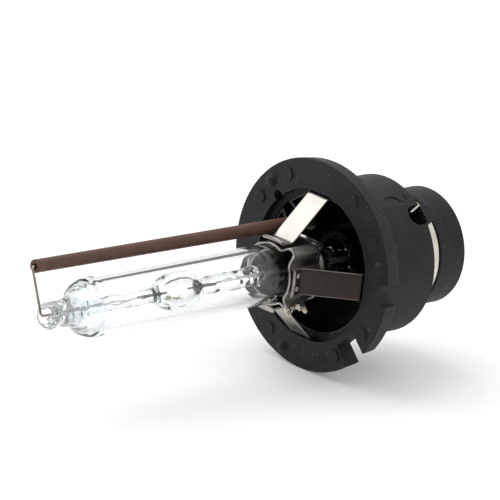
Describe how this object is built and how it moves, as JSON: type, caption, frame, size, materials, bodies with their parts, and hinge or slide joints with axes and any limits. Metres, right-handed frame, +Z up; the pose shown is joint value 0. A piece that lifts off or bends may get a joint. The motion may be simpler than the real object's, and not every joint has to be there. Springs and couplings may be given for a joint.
{
  "type": "headlight bulb",
  "caption": "Gas-discharge headlight bulb: clear glass burner held by spring strips in a keyed round plastic flange, with a side ceramic return tube and a bayonet rear contact.",
  "frame": {"origin": "centre of the seating flange's front face, on the lamp axis", "axes": "-Y along the lamp axis towards the glass tip, +Y towards the rear contacts, +Z up through the top spring strip, +X through the round flange notch"},
  "size_m": [0.0313, 0.0766, 0.0314],
  "materials": {
    "base_plastic": "fine moulded texture",
    "black_liner": "glossy as moulded",
    "spring_steel": "satin rolled sheet",
    "nickel": "nickel plate, lightly worn",
    "clear_quartz": "clear, fire polished",
    "tungsten": "drawn rod",
    "molybdenum": "drawn wire and rolled foil",
    "brown_ceramic": "unglazed, smooth fired",
    "salt": "crystalline deposit",
    "mercury": "liquid metal bead"
  },
  "bodies": {
    "root": {"base_housing": "base_plastic", "rear_collar": "base_plastic", "inner_insulator": "black_liner", "contact_ring": "nickel", "centre_contact": "nickel", "anchor_ring": "spring_steel", "clamp_band": "spring_steel", "spot_welds": "spring_steel", "outer_bulb": "clear_quartz", "arc_tube": "clear_quartz", "electrode_front": "tungsten", "electrode_rear": "tungsten", "foil_front": "molybdenum", "foil_rear": "molybdenum", "lead_front": "molybdenum", "lead_rear": "molybdenum", "return_wire": "nickel", "ceramic_tube": "brown_ceramic", "halide_salt": "salt", "mercury_beads": "mercury", "strip_right": "spring_steel", "strip_top": "spring_steel", "strip_left": "spring_steel", "strip_bottom": "spring_steel"}
  },
  "joints": []
}
